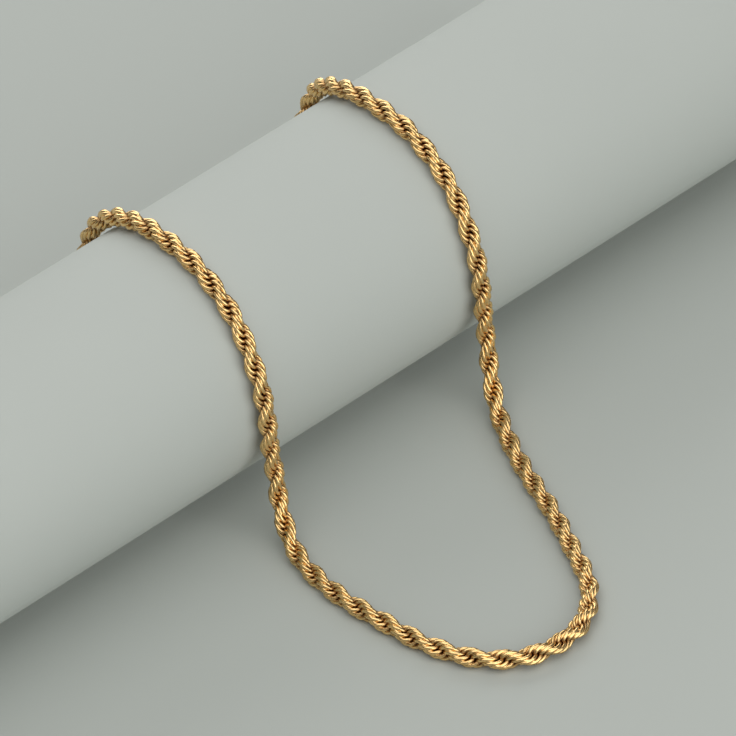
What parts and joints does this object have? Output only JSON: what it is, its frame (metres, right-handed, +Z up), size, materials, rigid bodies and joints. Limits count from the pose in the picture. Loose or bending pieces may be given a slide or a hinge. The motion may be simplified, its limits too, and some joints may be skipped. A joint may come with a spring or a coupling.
{
  "type": "rope chain on a display cylinder",
  "caption": "Twisted rope chain necklace, closed by a small barrel clasp and draped over a plain matte display cylinder.",
  "frame": {"origin": "on the line where the cylinder touches the floor, halfway along the cylinder", "axes": "+X along the cylinder, +Z up from the floor, -Y towards the chain's front loop"},
  "size_m": [0.32, 0.1709, 0.0754],
  "materials": {
    "matte_paint": "smooth matte pale grey-green paint",
    "chain_gold": "polished yellow gold plating",
    "clasp_gold": "polished yellow gold plating"
  },
  "bodies": {
    "root": {"display_cylinder": "matte_paint", "rope_chain": "chain_gold", "clasp": "clasp_gold"}
  },
  "joints": []
}
